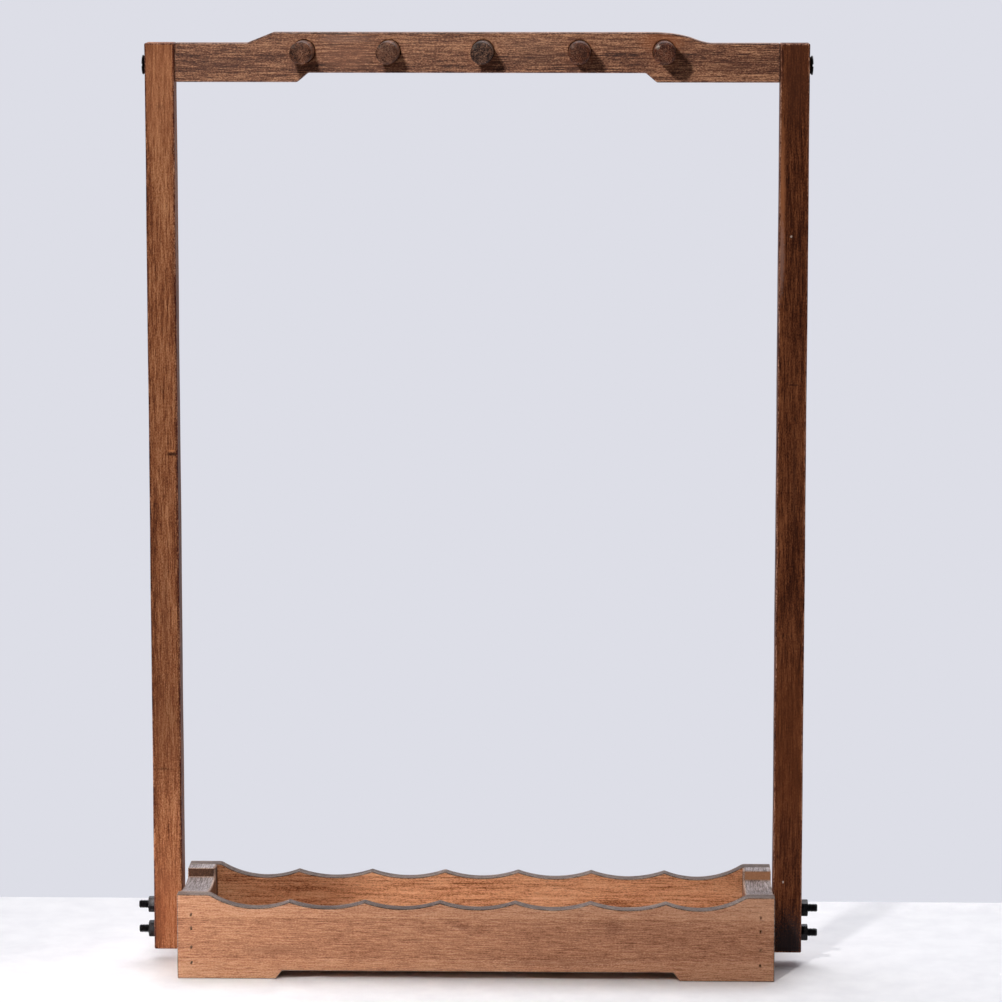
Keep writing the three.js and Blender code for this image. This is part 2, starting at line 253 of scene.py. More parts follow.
def bamboo(
    name, grain, shades, start, strips=(3.5, 14), contrast=1.0, roughness=0.5, shine=1.35,
    cloudy=0.9, fibres=(85, 1500), spots=(),
):
    """Stained, laminated bamboo. Its fibres run along the grain axis and its shades go from the
    open pores to the lightest fibre. strips is the cross-section of one lamella in mm. start moves
    the pattern, so that no two pieces look alike. fibres are counts per metre, along and across,
    and cloudy is how uneven the stain is. shine is the index of refraction.
    Each spot is (centre, radii, shade, strength) in mm, for a bamboo node, a stain, a rubbed
    place, or a painted light, shade, shadow or highlight."""
    finish = bpy.data.materials.new(name)
    finish.use_nodes = True
    tree = finish.node_tree
    surface = tree.nodes["Principled BSDF"]
    place = tree.nodes.new("ShaderNodeTexCoord").outputs["Object"]
    moved = mapped(tree, place, shift=start)

    fibre = noise(tree, mapped(tree, moved, along_grain(grain, *fibres)), 5, 0.62)
    thread = noise(tree, mapped(tree, moved, along_grain(grain, 230, 3200)), 3, 0.5)
    cloud = noise(tree, mapped(tree, moved, along_grain(grain, 14, 75)), 3, 0.6)
    speck = noise(tree, mapped(tree, moved, along_grain(grain, 1100, 2300)), 2, 0.6)
    dash = noise(tree, mapped(tree, moved, along_grain(grain, 230, 1900), (7, 3, 5)), 2, 0.5)

    sides = [axis for axis in "XYZ" if axis != grain]
    parts = tree.nodes.new("ShaderNodeSeparateXYZ")
    feed(tree, parts.inputs[0], moved)
    pair = tree.nodes.new("ShaderNodeCombineXYZ")
    for socket, axis, width in zip(pair.inputs, sides, strips):
        strip = maths(tree, "FLOOR", maths(tree, "DIVIDE", parts.outputs[axis], width * MM))
        feed(tree, socket, strip)
    lamella = tree.nodes.new("ShaderNodeTexWhiteNoise")
    feed(tree, lamella.inputs["Vector"], pair.outputs[0])

    shares = [
        (fibre, 1.7 * contrast),
        (thread, 1.0 * contrast),
        (speck, 1.3 * contrast),
        (cloud, cloudy),
        (lamella.outputs["Value"], 0.18),
    ]
    tone = 0.5 - sum(share for _, share in shares) / 2
    for part, share in shares:
        tone = maths(tree, "MULTIPLY_ADD", part, share, tone)
    pore, dark, middle, light = shades
    colour = ramp(tree, tone, [(0.0, pore), (0.3, dark), (0.52, middle), (0.95, light)])
    open_pore = fade(tree, dash, 0.6, 0.72)
    colour = tint(tree, maths(tree, "MULTIPLY", open_pore, 0.6 * contrast), colour, pore)
    for centre, radii, shade, strength in spots:
        scale = [1 / (radius * MM) for radius in radii]
        shift = [-middle_at / radius for middle_at, radius in zip(centre, radii)]
        length = tree.nodes.new("ShaderNodeVectorMath")
        length.operation = "LENGTH"
        feed(tree, length.inputs[0], mapped(tree, place, scale, shift))
        ragged = maths(tree, "MULTIPLY_ADD", speck, 1.6, length.outputs["Value"])
        share = fade(tree, ragged, 1.2, 1.9, strength, 0)
        colour = tint(tree, share, colour, shade)
    tree.links.new(colour, surface.inputs["Base Color"])

    height = maths(tree, "MULTIPLY_ADD", open_pore, -0.5, fibre)
    height = maths(tree, "MULTIPLY_ADD", thread, 0.4, height)
    roughen(tree, surface, height, 0.22, 0.45)
    polish = maths(tree, "MULTIPLY_ADD", speck, 0.28, roughness - 0.14)
    polish = maths(tree, "MULTIPLY_ADD", open_pore, 0.2, polish)
    tree.links.new(polish, surface.inputs["Roughness"])
    surface.inputs["IOR"].default_value = shine
    return finish


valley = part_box("tray_front_board")[1].z / MM - VALLEY_DROP
board_top = valley + VALLEY_DROP
rise = VALLEY_DROP - CUSP_DROP
scallop_radius = ((SCALLOP_PITCH / 2) ** 2 + rise**2) / (2 * rise)
first_cusp = SCALLOP_SHIFT - (CUSP_COUNT - 1) * SCALLOP_PITCH / 2
last_cusp = first_cusp + (CUSP_COUNT - 1) * SCALLOP_PITCH
end_reach = math.sqrt(END_SCALLOP_RADIUS**2 - (END_SCALLOP_RADIUS - rise) ** 2)
joined = END_SCALLOP_RADIUS + SHOULDER_RADIUS
shoulder_reach = math.sqrt(joined**2 - (joined - VALLEY_DROP) ** 2)
tangent_reach = shoulder_reach * END_SCALLOP_RADIUS / joined


def bowl(centre, radius, x):
    """The height of a drum's underside over the valley, beside the drum's middle."""
    return valley + radius - math.sqrt(radius**2 - (x - centre) ** 2)


def scalloped_edge(x):
    outside = max(first_cusp - x, x - last_cusp)
    if outside < 0:
        centre = first_cusp + SCALLOP_PITCH * (math.floor((x - first_cusp) / SCALLOP_PITCH) + 0.5)
        return bowl(centre, scallop_radius, x)
    reach = outside - end_reach
    if reach < tangent_reach:
        return bowl(0, END_SCALLOP_RADIUS, reach)
    if reach < shoulder_reach:
        across = shoulder_reach - reach
        return board_top - SHOULDER_RADIUS + math.sqrt(SHOULDER_RADIUS**2 - across**2)
    return board_top


def footed_edge(x):
    inside = FEET_GAP_HALF + FEET_GAP_SLOPE - abs(x - SCALLOP_SHIFT)
    return FEET_GAP_HEIGHT * min(max(inside / FEET_GAP_SLOPE, 0), 1)


tray_shades = (seen(102, 60, 40), seen(156, 103, 74), seen(185, 131, 98), seen(216, 169, 136))
inner_shades = (seen(112, 66, 42), seen(178, 120, 84), seen(214, 154, 114), seen(238, 190, 150))
# The rubbed arrises and the upward faces: partly wear, partly a painted sheen.
tray_rubbed_and_sheen = (seen(48, 34, 28), seen(84, 67, 59), seen(116, 99, 90), seen(164, 146, 136))
smudge = seen(120, 74, 52)
front_face = bamboo(
    "front_board_bamboo", "X", tray_shades, (0.31, 0.2, 0.13), strips=(7.5, 20), contrast=0.72,
    cloudy=0.4,
    spots=[
        ((-6, -36, 26), (5.5, 3, 1.6), smudge, 0.5),
        ((66, -36, 26), (5.5, 3, 4.5), smudge, 0.45),
        ((-95, -36, 14), (22, 3, 4), smudge, 0.25),
        ((40, -36, 9), (40, 3, 3), smudge, 0.25),
    ],
)
front_edge_and_sheen = bamboo(
    "front_board_edge_and_sheen", "X", tray_rubbed_and_sheen, (0.31, 0.2, 0.13), contrast=0.95, roughness=0.45,
    shine=1.22,
)
back_face = bamboo(
    "back_board_bamboo", "X", inner_shades, (1.7, 0.9, 0.4), strips=(7.5, 6.5), contrast=1.0,
    fibres=(32, 900),
)
back_edge_and_sheen = bamboo(
    "back_board_edge_and_sheen", "X", tray_rubbed_and_sheen, (1.7, 0.9, 0.4), contrast=0.95, roughness=0.45,
    shine=1.22,
)

cusps = [first_cusp + index * SCALLOP_PITCH for index in range(CUSP_COUNT)]
gap_corners = (FEET_GAP_HALF, FEET_GAP_HALF + FEET_GAP_SLOPE)
feet = [SCALLOP_SHIFT + side * reach for side in (-1, 1) for reach in gap_corners]
tray_boards = {}
for node, finishes in (
    ("tray_front_board", (front_face, front_edge_and_sheen)),
    ("tray_back_board", (back_face, back_edge_and_sheen)),
):
    low, high = (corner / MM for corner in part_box(node))
    board = fretwork(
        node.replace("tray_", ""), low.x, high.x, BOARD_COLUMNS, cusps + feet,
        footed_edge, scalloped_edge, low.y, high.y,
    )
    finish_in(board, *finishes)
    # The upward faces take the greyer finish, a painted sheen.
    paint_sheen_on_top(board, 1)
    wear(board, BOARD_ARRIS)
    tray_boards[node] = board

# ---- Brads ------------------------------------------------------------------------------
# Wire brads with a flat oblong head, driven by an air gun through each board into the ends of
# the tray and sunk a little below the face. The gun is never held quite upright, so the heads
# sit askew in small torn pockets. The stain has clogged the pockets at the right.

BRAD_HEAD = (0.8, 1.5, 0.5)
BRAD_SHANK = (0.7, 0.9)
BRAD_LENGTH = 19
BRAD_TAPER = 0.15
BRAD_ARRIS = 0.09
POCKET_ROOM = 0.06
POCKET_DEPTH = 0.7
BRAD_LEANS = (0.32, -0.12, 0.24, 0.38)


def block(name, low, high):
    """A sawn block between two corners, in mm."""
    low, high = Vector(low) * MM, Vector(high) * MM
    touch()
    bpy.ops.mesh.primitive_cube_add(size=1, location=(low + high) / 2, scale=high - low)
    return settle(name)


def join(pieces):
    touch(*pieces)
    bpy.ops.object.join()
    return pieces[0]


def copied(piece, name, turn, place):
    """Another like piece, with its own mesh, turned and then put in its place (mm)."""
    other = piece.copy()
    other.data = piece.data.copy()
    other.name = other.data.name = name
    bpy.context.collection.objects.link(other)
    other.data.transform(Matrix.Translation(Vector(place) * MM) @ turn)
    return other


def dark_steel(name, skin, bare_and_painted_light, roughness, metal=0.8):
    """Steel with a dark oxide skin that is thin and bright in places and dusty in others."""
    finish = bpy.data.materials.new(name)
    finish.use_nodes = True
    tree = finish.node_tree
    surface = tree.nodes["Principled BSDF"]
    place = tree.nodes.new("ShaderNodeTexCoord").outputs["Object"]
    grit = noise(tree, mapped(tree, place, (3800, 3800, 3800)), 4, 0.6)
    patch = noise(tree, mapped(tree, place, (420, 420, 420)), 3, 0.6)
    colour = ramp(tree, patch, [(0.35, skin), (0.75, bare_and_painted_light)])
    colour = tint(tree, fade(tree, grit, 0.58, 0.78, 0, 0.6), colour, bare_and_painted_light)
    tree.links.new(colour, surface.inputs["Base Color"])
    polish = maths(tree, "MULTIPLY_ADD", grit, 0.3, roughness - 0.15)
    tree.links.new(polish, surface.inputs["Roughness"])
    surface.inputs["Metallic"].default_value = metal
    roughen(tree, surface, grit, 0.02, 0.4)
    return finish


brad_steel = dark_steel("brad_steel", seen(112, 74, 53), seen(150, 110, 82), 0.7, metal=0)
filled_brad = dark_steel("filled_brad", seen(176, 124, 92), seen(196, 146, 112), 0.7, metal=0)
pocket_shades = (seen(60, 36, 26), seen(96, 62, 44), seen(130, 88, 64), seen(172, 126, 96))
torn_pocket = bamboo("torn_pocket", "X", pocket_shades, (0.5, 0.1, 0.7), roughness=0.7)
filled_pocket = bamboo(
    "filled_pocket", "X", tray_shades, (0.5, 0.1, 0.7), contrast=0.8, roughness=0.6,
)
for board in tray_boards.values():
    finish_in(board, torn_pocket, filled_pocket)

shank_width, shank_height = (size / 2 for size in BRAD_SHANK)
first_brad = block(
    "first_brad", (-shank_width, 0, -shank_height), (shank_width, BRAD_LENGTH, shank_height),
)
for vertex in first_brad.data.vertices:
    if vertex.co.y > (BRAD_LENGTH - 0.1) * MM:
        vertex.co.x *= BRAD_TAPER
touch(first_brad)
half_width, half_height, head_height = BRAD_HEAD[0] / 2, BRAD_HEAD[1] / 2, BRAD_HEAD[2]
brad_head = block(
    "brad_head", (-half_width, 0, -half_height), (half_width, head_height, half_height),
)
carve(first_brad, brad_head, "UNION")
finish_in(first_brad, brad_steel)
wear(first_brad, BRAD_ARRIS, steps=2)
smooth(first_brad)

for face, inwards in (("front", 1), ("back", -1)):
    pockets = []
    for end in ("left", "right"):
        for number, angle in enumerate(BRAD_LEANS, 1):
            node = f"{face}_{end}_brad_{number}"
            low, high = (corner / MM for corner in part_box(node))
            outer = low.y if face == "front" else high.y
            centre = ((low.x + high.x) / 2, outer, (low.z + high.z) / 2)
            askew = angle if end == "left" else -0.7 * angle
            facing = Matrix.Rotation(0 if inwards > 0 else math.pi, 4, "Z")
            turn = Matrix.Rotation(askew, 4, "Y") @ facing
            brad = copied(first_brad, node.replace("brad", "wire_brad"), turn, centre)
            if end == "right":
                brad.data.materials[0] = filled_brad
            hand_over(brad, "brad_steel", node)
            pocket = block(
                "pocket",
                (-half_width - POCKET_ROOM, -1, -half_height - POCKET_ROOM),
                (half_width + POCKET_ROOM, POCKET_DEPTH, half_height + 2 * POCKET_ROOM),
            )
            finish_in(pocket, torn_pocket if end == "left" else filled_pocket)
            pockets.append(copied(pocket, "pocket", turn, centre))
            bpy.data.objects.remove(pocket)
    carve(tray_boards[f"tray_{face}_board"], join(pockets))
bpy.data.objects.remove(first_brad)
for node, board in tray_boards.items():
    smooth(board)
    hand_over(board, "tray_bamboo", node)

# ---- Tray ends and floor ----------------------------------------------------------------
# Each end is a thick bamboo block between the boards. Its top has a flat land at the back, a
# small sawn step, and a shallow dish in which a brush can lie. The inner arris is rubbed bare.
# The upward faces are grey, a painted sheen. The left end's inner face and its step carry a
# painted shadow, and the right end's step a painted light. The floor is a thin panel of three
# bamboo strips, side by side.

LAND_DEPTH = 9
STEP_DROP = 4.4
DISH_SAGITTA = 2.2
END_COLUMNS = 96
STEP_LEAN = 0.12
RUBBED_ARRIS = 0.9
RUBBED_FROM = 20
END_ARRIS = 0.35
FLOOR_GROOVE = 0.5
FLOOR_GROOVE_DEPTH = 0.4
FLOOR_ARRIS = 0.15
FLOOR_STRIPS = 3


def select_edges(piece, test):
    """Opens a piece with only the edges selected whose two ends pass a test, in mm."""
    touch(piece)
    bpy.ops.object.mode_set(mode="EDIT")
    bpy.ops.mesh.select_mode(type="EDGE")
    bpy.ops.mesh.select_all(action="DESELECT")
    bpy.ops.object.mode_set(mode="OBJECT")
    points = [vertex.co / MM for vertex in piece.data.vertices]
    for edge in piece.data.edges:
        edge.select = all(test(points[index]) for index in edge.vertices)
    bpy.ops.object.mode_set(mode="EDIT")


end_shades = (seen(64, 38, 28), seen(120, 76, 54), seen(152, 100, 70), seen(196, 146, 110))
end_rubbed = (seen(90, 66, 56), seen(140, 112, 98), seen(176, 148, 132), seen(214, 190, 172))
# The grey of the ends' upward faces is a painted sheen.
end_painted_sheen = (seen(72, 60, 57), seen(118, 105, 102), seen(150, 138, 137), seen(200, 190, 190))
painted_shadow = seen(50, 36, 31)
bare_and_painted_light = seen(186, 136, 100)
inner_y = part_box("tray_back_board")[0].y / MM
land_y = inner_y - LAND_DEPTH


def dished_edge(y):
    if y >= land_y:
        return board_top
    share = min((land_y - y) / (land_y + inner_y), 1)
    return board_top - STEP_DROP * (1 - share) - DISH_SAGITTA * 4 * share * (1 - share)


for end, start in (("left", (0.7, 2.1, 0.3)), ("right", (1.4, 0.6, 1.9))):
    node = f"tray_{end}_end"
    low, high = (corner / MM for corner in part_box(node))
    inner_x = high.x if end == "left" else low.x
    tray_end = fretwork(
        f"{end}_end_block", low.y, high.y, END_COLUMNS, [land_y - STEP_LEAN, land_y],
        lambda y: 0, dished_edge, low.x, high.x, axis="Y",
    )
    # Painted light and shade on the steps: a shadow on the left end's step, light on the right
    # one's.
    painted_step_light_and_shade = painted_shadow if end == "left" else bare_and_painted_light
    spots = [((inner_x, land_y, board_top - 2), (60, 3, 8), painted_step_light_and_shade, 0.75)]
    # The left end's inner face turns away from the window and takes a painted shadow.
    if end == "left":
        spots.insert(0, ((inner_x, 0, 30), (4, 60, 60), painted_shadow, 0.7))
    finish_in(
        tray_end,
        bamboo(
            f"{end}_end_bamboo", "Y", end_shades, start, strips=(6.75, 7), roughness=0.34,
            spots=spots,
        ),
        bamboo(f"{end}_end_arris", "Y", end_rubbed, start, contrast=0.8, roughness=0.5),
        bamboo(
            f"{end}_end_top", "Y", end_painted_sheen, start, contrast=1.2, roughness=0.42, shine=1.28,
        ),
    )
    # The upward faces take the grey top finish, a painted sheen.
    paint_sheen_on_top(tray_end, 2)
    select_edges(tray_end, lambda at: abs(at.x - inner_x) < 0.01 and at.z > RUBBED_FROM)
    bpy.ops.mesh.bevel(offset=RUBBED_ARRIS * MM, segments=2, clamp_overlap=False, material=1)
    bpy.ops.object.mode_set(mode="OBJECT")
    wear(tray_end, END_ARRIS, steps=2, sharper_than=50)
    smooth(tray_end)
    hand_over(tray_end, "tray_bamboo", node)

low, high = (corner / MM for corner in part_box("tray_floor"))
tray_floor = block("floor_panel", low, high)
for index in range(1, FLOOR_STRIPS):
    y = low.y + (high.y - low.y) * index / FLOOR_STRIPS
    groove_low = (low.x - 1, y - FLOOR_GROOVE / 2, high.z - FLOOR_GROOVE_DEPTH)
    groove_high = (high.x + 1, y + FLOOR_GROOVE / 2, high.z + 1)
    carve(tray_floor, block("groove", groove_low, groove_high))
floor_strips = ((high.y - low.y) / FLOOR_STRIPS, 9)
finish_in(
    tray_floor,
    bamboo("floor_bamboo", "X", tray_shades, (2.3, 1.1, 0.8), strips=floor_strips),
    bamboo("floor_arris", "X", tray_rubbed_and_sheen, (2.3, 1.1, 0.8)),
)
wear(tray_floor, FLOOR_ARRIS, steps=2)
smooth(tray_floor)
hand_over(tray_floor, "tray_bamboo", "tray_floor")

# ---- Posts ------------------------------------------------------------------------------
# Two square posts of laminated bamboo, stained dark brown. The right one has taken more stain.
# They stand against the tray's ends, a little clear of the table. Planing has left the arrises
# not quite straight, and handling has nicked and rubbed them.

POST_ARRIS = 0.75
POST_LOOPS = 72
PLANING_WAVE = 0.07
COUNTERSINK = {"radius": 4.9, "depth": 0.5}
SCREW_HEIGHT = 433.6
NICK_SHAPE = [(0, -1.4), (0.75, -0.9), (0.9, 0), (0.75, 0.9), (0, 1.4)]


def lathe(name, profile, start, direction, sides=64, pitch=0.0):
    """Turns a profile round an axis. A profile lists (radius, distance along) in mm, and a third
    number is the depth of the thread cut there, with the pitch given and a flat crest and root."""
    rows = len(profile) - 1
    touch()
    bpy.ops.mesh.primitive_grid_add(x_subdivisions=sides, y_subdivisions=rows, size=1)
    piece = settle(name)
    direction = Vector(direction)
    right = ALONG["Z"].cross(direction).normalized()
    up = direction.cross(right)
    for vertex in piece.data.vertices:
        turn = vertex.co.x + 0.5
        radius, along, *cut = profile[round((vertex.co.y + 0.5) * rows)]
        if cut:
            phase = (along / pitch - turn) % 1
            radius -= cut[0] * min(max(abs(2 * phase - 1) * 1.25 - 0.12, 0), 1)
        angle = 2 * math.pi * turn
        spoke = right * math.cos(angle) + up * math.sin(angle)
        vertex.co = (Vector(start) + direction * along + spoke * radius) * MM
    close_seams(piece)
    return piece


post_finishes = {
    "left": {
        "shades": (seen(70, 36, 22), seen(116, 66, 42), seen(148, 90, 58), seen(196, 138, 98)),
        "rubbed_and_highlight": (seen(52, 20, 14), seen(84, 38, 26), seen(124, 74, 52), seen(200, 146, 112)),
        "start": (0.2, 0.5, 1.3),
        "contrast": 0.95,
        "spots": [
            ((-145, -7, 249), (3.4, 2, 1.0), seen(40, 20, 14), 0.85),
            ((-145.5, -7, 250.6), (2.2, 2, 0.6), seen(206, 132, 84), 0.8),
            ((-149, -7, 414), (2.4, 2, 1.6), seen(78, 42, 27), 0.4),
            # Painted light and shade down the left post: lighter at the top, darker lower down.
            ((-150, -7, 425), (16, 4, 34), seen(196, 130, 92), 0.25),
            ((-150, -7, 112), (16, 4, 34), seen(110, 62, 38), 0.35),
            ((-150, -7, 28), (16, 4, 30), seen(138, 84, 57), 0.45),
            # A painted shade on the left post's inner face, which turns away from the window.
            ((-143, 0, 225), (1.1, 14, 260), seen(58, 32, 22), 0.7),
            ((-151, -7, 96), (5.0, 2, 0.7), seen(66, 36, 24), 0.5),
            ((-144, -7, 330), (1.0, 2, 26), seen(92, 52, 36), 0.5),
            ((-149.5, -7, 170), (2.2, 2, 40), seen(112, 66, 44), 0.35),
        ],
    },
    "right": {
        "shades": (seen(40, 16, 8), seen(72, 35, 19), seen(94, 50, 28), seen(134, 80, 50)),
        "rubbed_and_highlight": (seen(40, 18, 13), seen(76, 38, 26), seen(112, 66, 48), seen(190, 140, 112)),
        "start": (1.1, 0.1, 2.2),
        "contrast": 1.1,
        "spots": [
            # A painted shadow darkens the right post's foot, below the tray's top.
            ((150, -7, 8), (12, 4, 22), seen(47, 41, 43), 0.9),
            ((149.5, -7, 432), (8, 3, 30), seen(86, 46, 29), 0.6),
            ((150, -7, 110), (16, 4, 50), seen(112, 60, 32), 0.4),
            ((143.6, -7, 372), (2.2, 1.5, 34), seen(176, 112, 74), 0.6),
            ((143.6, -7, 344), (2.0, 1.5, 22), seen(150, 118, 108), 0.5),
            ((148.4, -7, 353.5), (0.6, 2, 0.6), seen(196, 176, 160), 0.9),
            ((147.4, -7, 42), (0.5, 2, 0.7), seen(214, 196, 180), 0.9),
            ((150, -7, 283), (4.0, 2, 0.7), seen(50, 24, 16), 0.6),
            ((151, -7, 236), (1.2, 2, 34), seen(60, 30, 20), 0.5),
        ],
    },
}
# The nicks in the two front arrises of each post: (side, height, depth).
nicks = {
    "left": [(-1, 371.0, 0.8), (1, 296.5, 0.6), (1, 141.3, 0.9), (-1, 60.2, 0.7)],
    "right": [(-1, 301.0, 0.7), (1, 402.2, 0.7), (-1, 122.0, 0.9), (1, 210.7, 0.6)],
}

for end, outwards in (("left", -1), ("right", 1)):
    node = f"{end}_post"
    low, high = (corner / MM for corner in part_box(node))
    middle = (low + high) / 2
    post = block(f"{end}_square_post", low, high)
    looks = post_finishes[end]
    finish_in(
        post,
        bamboo(
            f"{end}_post_bamboo", "Z", looks["shades"], looks["start"], strips=(4.7, 7),
            contrast=looks["contrast"], shine=1.14, spots=looks["spots"],
        ),
        bamboo(f"{end}_post_arris", "Z", looks["rubbed_and_highlight"], looks["start"], contrast=1.3, shine=1.2),
    )
    for step in range(1, POST_LOOPS):
        touch(post)
        bpy.ops.object.mode_set(mode="EDIT")
        bpy.ops.mesh.select_all(action="SELECT")
        height = low.z + (high.z - low.z) * step / POST_LOOPS
        bpy.ops.mesh.bisect(plane_co=(0, 0, height * MM), plane_no=(0, 0, 1))
        bpy.ops.object.mode_set(mode="OBJECT")
    for vertex in post.data.vertices:
        at = vertex.co / MM
        if low.z + 1 < at.z < high.z - 1:
            # Each arris of each post has a wave of its own.
            phase = 1.7 * (at.x > middle.x) + 2.9 * (at.y > middle.y) + 4.1 * (outwards > 0)
            wave = math.sin(at.z / 23 + phase) + math.sin(at.z / 9.1 + 2 * phase) * 0.5
            inward = PLANING_WAVE * (wave - 1.5) / 1.5 * MM
            vertex.co.x += inward * (1 if at.x > middle.x else -1)
            vertex.co.y += inward * (1 if at.y > middle.y else -1)
    wear(post, POST_ARRIS)
    sink = COUNTERSINK["depth"]
    face = high.x if outwards > 0 else low.x
    cup = [(0, -1), (COUNTERSINK["radius"], -1), (COUNTERSINK["radius"], sink), (0, sink + 2)]
    carve(post, lathe("cup", cup, (face, 0, SCREW_HEIGHT), (-outwards, 0, 0)))
    for side, height, depth in nicks[end]:
        arris = middle.x + side * (middle.x - low.x)
        clear = (1.0 - 0.55 * depth) * 0.4
        start = (arris + side * clear, low.y - clear, height)
        carve(post, lathe("nick", NICK_SHAPE, start, (0, 0.5 * side, 0.87), sides=12))
    smooth(post)
    hand_over(post, "post_bamboo", node)

# ---- Crossbar ---------------------------------------------------------------------------
# A flat bamboo bar between the posts' tops, with its raised middle sawn out by hand: the left
# shoulder is a straight cut and the right one has been filed to a soft curve. The stain is
# darker and rougher here, and five blind bores in the front face hold the pegs.

BAR_ENDS = (425.6, 444)
BAR_MIDDLE = (430, 449)
UNDERCUT = (79.5, 84.7)
LEFT_SHOULDER = (-108.4, -95.9)
RIGHT_SHOULDER = ((111, 0), (107, 0), (101, 0.5), (93, 1), (82, 1))
BAR_COLUMNS = 300
BAR_ARRIS = 0.6
BORE_ROOM = 0.2
PEGS = 5


def curve_between(points, x):
    """Follows two joined quadratic curves through five handles, from the first to the last."""
    for first, handle, last in (points[0:3], points[2:5]):
        if last[0] <= x <= first[0]:
            low_t, high_t = 0.0, 1.0
            for _ in range(30):
                t = (low_t + high_t) / 2
                at = first[0] * (1 - t) ** 2 + 2 * handle[0] * t * (1 - t) + last[0] * t**2
                low_t, high_t = (t, high_t) if at > x else (low_t, t)
            return first[1] * (1 - t) ** 2 + 2 * handle[1] * t * (1 - t) + last[1] * t**2
    return 0 if x > points[0][0] else 1


def bar_top(x):
    if x < LEFT_SHOULDER[1]:
        share = max((x - LEFT_SHOULDER[0]) / (LEFT_SHOULDER[1] - LEFT_SHOULDER[0]), 0)
    else:
        share = curve_between(RIGHT_SHOULDER, x)
    return BAR_ENDS[1] + (BAR_MIDDLE[1] - BAR_ENDS[1]) * share


def bar_bottom(x):
    share = min(max((UNDERCUT[1] - abs(x)) / (UNDERCUT[1] - UNDERCUT[0]), 0), 1)
    return BAR_ENDS[0] + (BAR_MIDDLE[0] - BAR_ENDS[0]) * share


low, high = (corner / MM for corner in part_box("crossbar"))
bar_corners = [side * x for side in (-1, 1) for x in UNDERCUT] + list(LEFT_SHOULDER)
crossbar = fretwork(
    "shaped_crossbar", low.x, high.x, BAR_COLUMNS, bar_corners, bar_bottom, bar_top, low.y, high.y
)
bar_shades = (seen(50, 27, 19), seen(96, 57, 40), seen(134, 86, 62), seen(204, 150, 112))
bar_rubbed = (seen(50, 28, 22), seen(88, 58, 48), seen(128, 92, 78), seen(190, 150, 130))
peg_boxes = [
    [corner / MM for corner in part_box(f"hanging_peg_{number}")] for number in range(1, PEGS + 1)
]
peg_height = (peg_boxes[0][0].z + peg_boxes[0][1].z) / 2
peg_radius = (peg_boxes[0][1].z - peg_boxes[0][0].z) / 2
peg_places = [(peg_low.x + peg_high.x) / 2 for peg_low, peg_high in peg_boxes]
# Each peg sits in a lighter ring of the bar, and a lighter patch lies above the fifth peg.
peg_ring_tone = seen(150, 84, 48)
bar_spots = [((x, low.y, peg_height), (10, 3, 9), peg_ring_tone, 0.22) for x in peg_places]
bar_spots += [
    ((peg_places[4] - 1, low.y, peg_height + 5), (13, 3, 6), seen(176, 104, 60), 0.4),
    ((-120, low.y, 434), (16, 3, 4), seen(92, 58, 46), 0.35),
    ((-62, low.y, 446), (14, 3, 2.4), seen(168, 126, 106), 0.35),
    ((24, low.y, 444), (22, 3, 3), seen(150, 112, 92), 0.15),
    ((27, low.y, 438), (16, 3, 7), seen(92, 60, 46), 0.35),
    ((-61, low.y, 438), (14, 3, 7), seen(172, 116, 88), 0.3),
    ((118, low.y, 433), (20, 3, 4), seen(92, 52, 36), 0.35),
]
finish_in(
    crossbar,
    bamboo(
        "bar_bamboo", "X", bar_shades, (0.9, 1.6, 0.2), strips=(8.5, 9.4), contrast=1.2,
        cloudy=0.55, fibres=(48, 1400), spots=bar_spots,
    ),
    bamboo("bar_arris", "X", bar_rubbed, (0.9, 1.6, 0.2), contrast=1.3, roughness=0.38),
)
wear(crossbar, BAR_ARRIS)
for x, (peg_low, peg_high) in zip(peg_places, peg_boxes):
    room = peg_radius + BORE_ROOM
    seat = peg_high.y - low.y + BORE_ROOM
    bore = [(0, -1), (room + 0.35, -1), (room + 0.35, 0), (room, 0.35), (room, seat), (0, seat)]
    carve(crossbar, lathe("bore", bore, (x, low.y, peg_height), (0, 1, 0), sides=96))
smooth(crossbar)
hand_over(crossbar, "bar_bamboo", "crossbar")

# ---- Hanging pegs -----------------------------------------------------------------------
# Turned bamboo pegs, glued into the crossbar. Their ends show the dark open end grain of the
# bamboo's bundles inside a chamfer, and the lathe has left faint rings on their sides. A painted
# highlight lies on the upper left of each chamfer, faint on four pegs and strong on the fifth.

PEG_CHAMFER = 1.2
PEG_CROWN = 0.10
PEG_RINGS = 34
RING_CUT = 0.02


def end_grain(name, shades, start, rim):
    """Bamboo cut across its fibres on the end face: dark round bundles in a lighter ground. The
    sides show the same fibres from their length. rim is a spot of painted highlight on the chamfer."""
    finish = bamboo(name, "Y", shades, start, contrast=1.1, roughness=0.42, shine=1.2, spots=[rim])
    tree = finish.node_tree
    surface = tree.nodes["Principled BSDF"]
    place = tree.nodes.new("ShaderNodeTexCoord").outputs["Object"]
    bundles = tree.nodes.new("ShaderNodeTexVoronoi")
    feed(tree, bundles.inputs["Vector"], mapped(tree, place, (1150, 40, 1150), start))
    bundles.inputs["Scale"].default_value = 1
    blot = noise(tree, mapped(tree, place, (330, 10, 330), start), 3, 0.6)
    near_middle = fade(tree, bundles.outputs["Distance"], 0.16, 0.42, 0.75, 0)
    ground = surface.inputs["Base Color"].links[0].from_socket
    dark_ground = tint(tree, fade(tree, blot, 0.42, 0.62, 0, 0.4), ground, shades[0])
    grain = tint(tree, near_middle, dark_ground, seen(24, 16, 15))
    tree.links.new(grain, surface.inputs["Base Color"])
    return finish
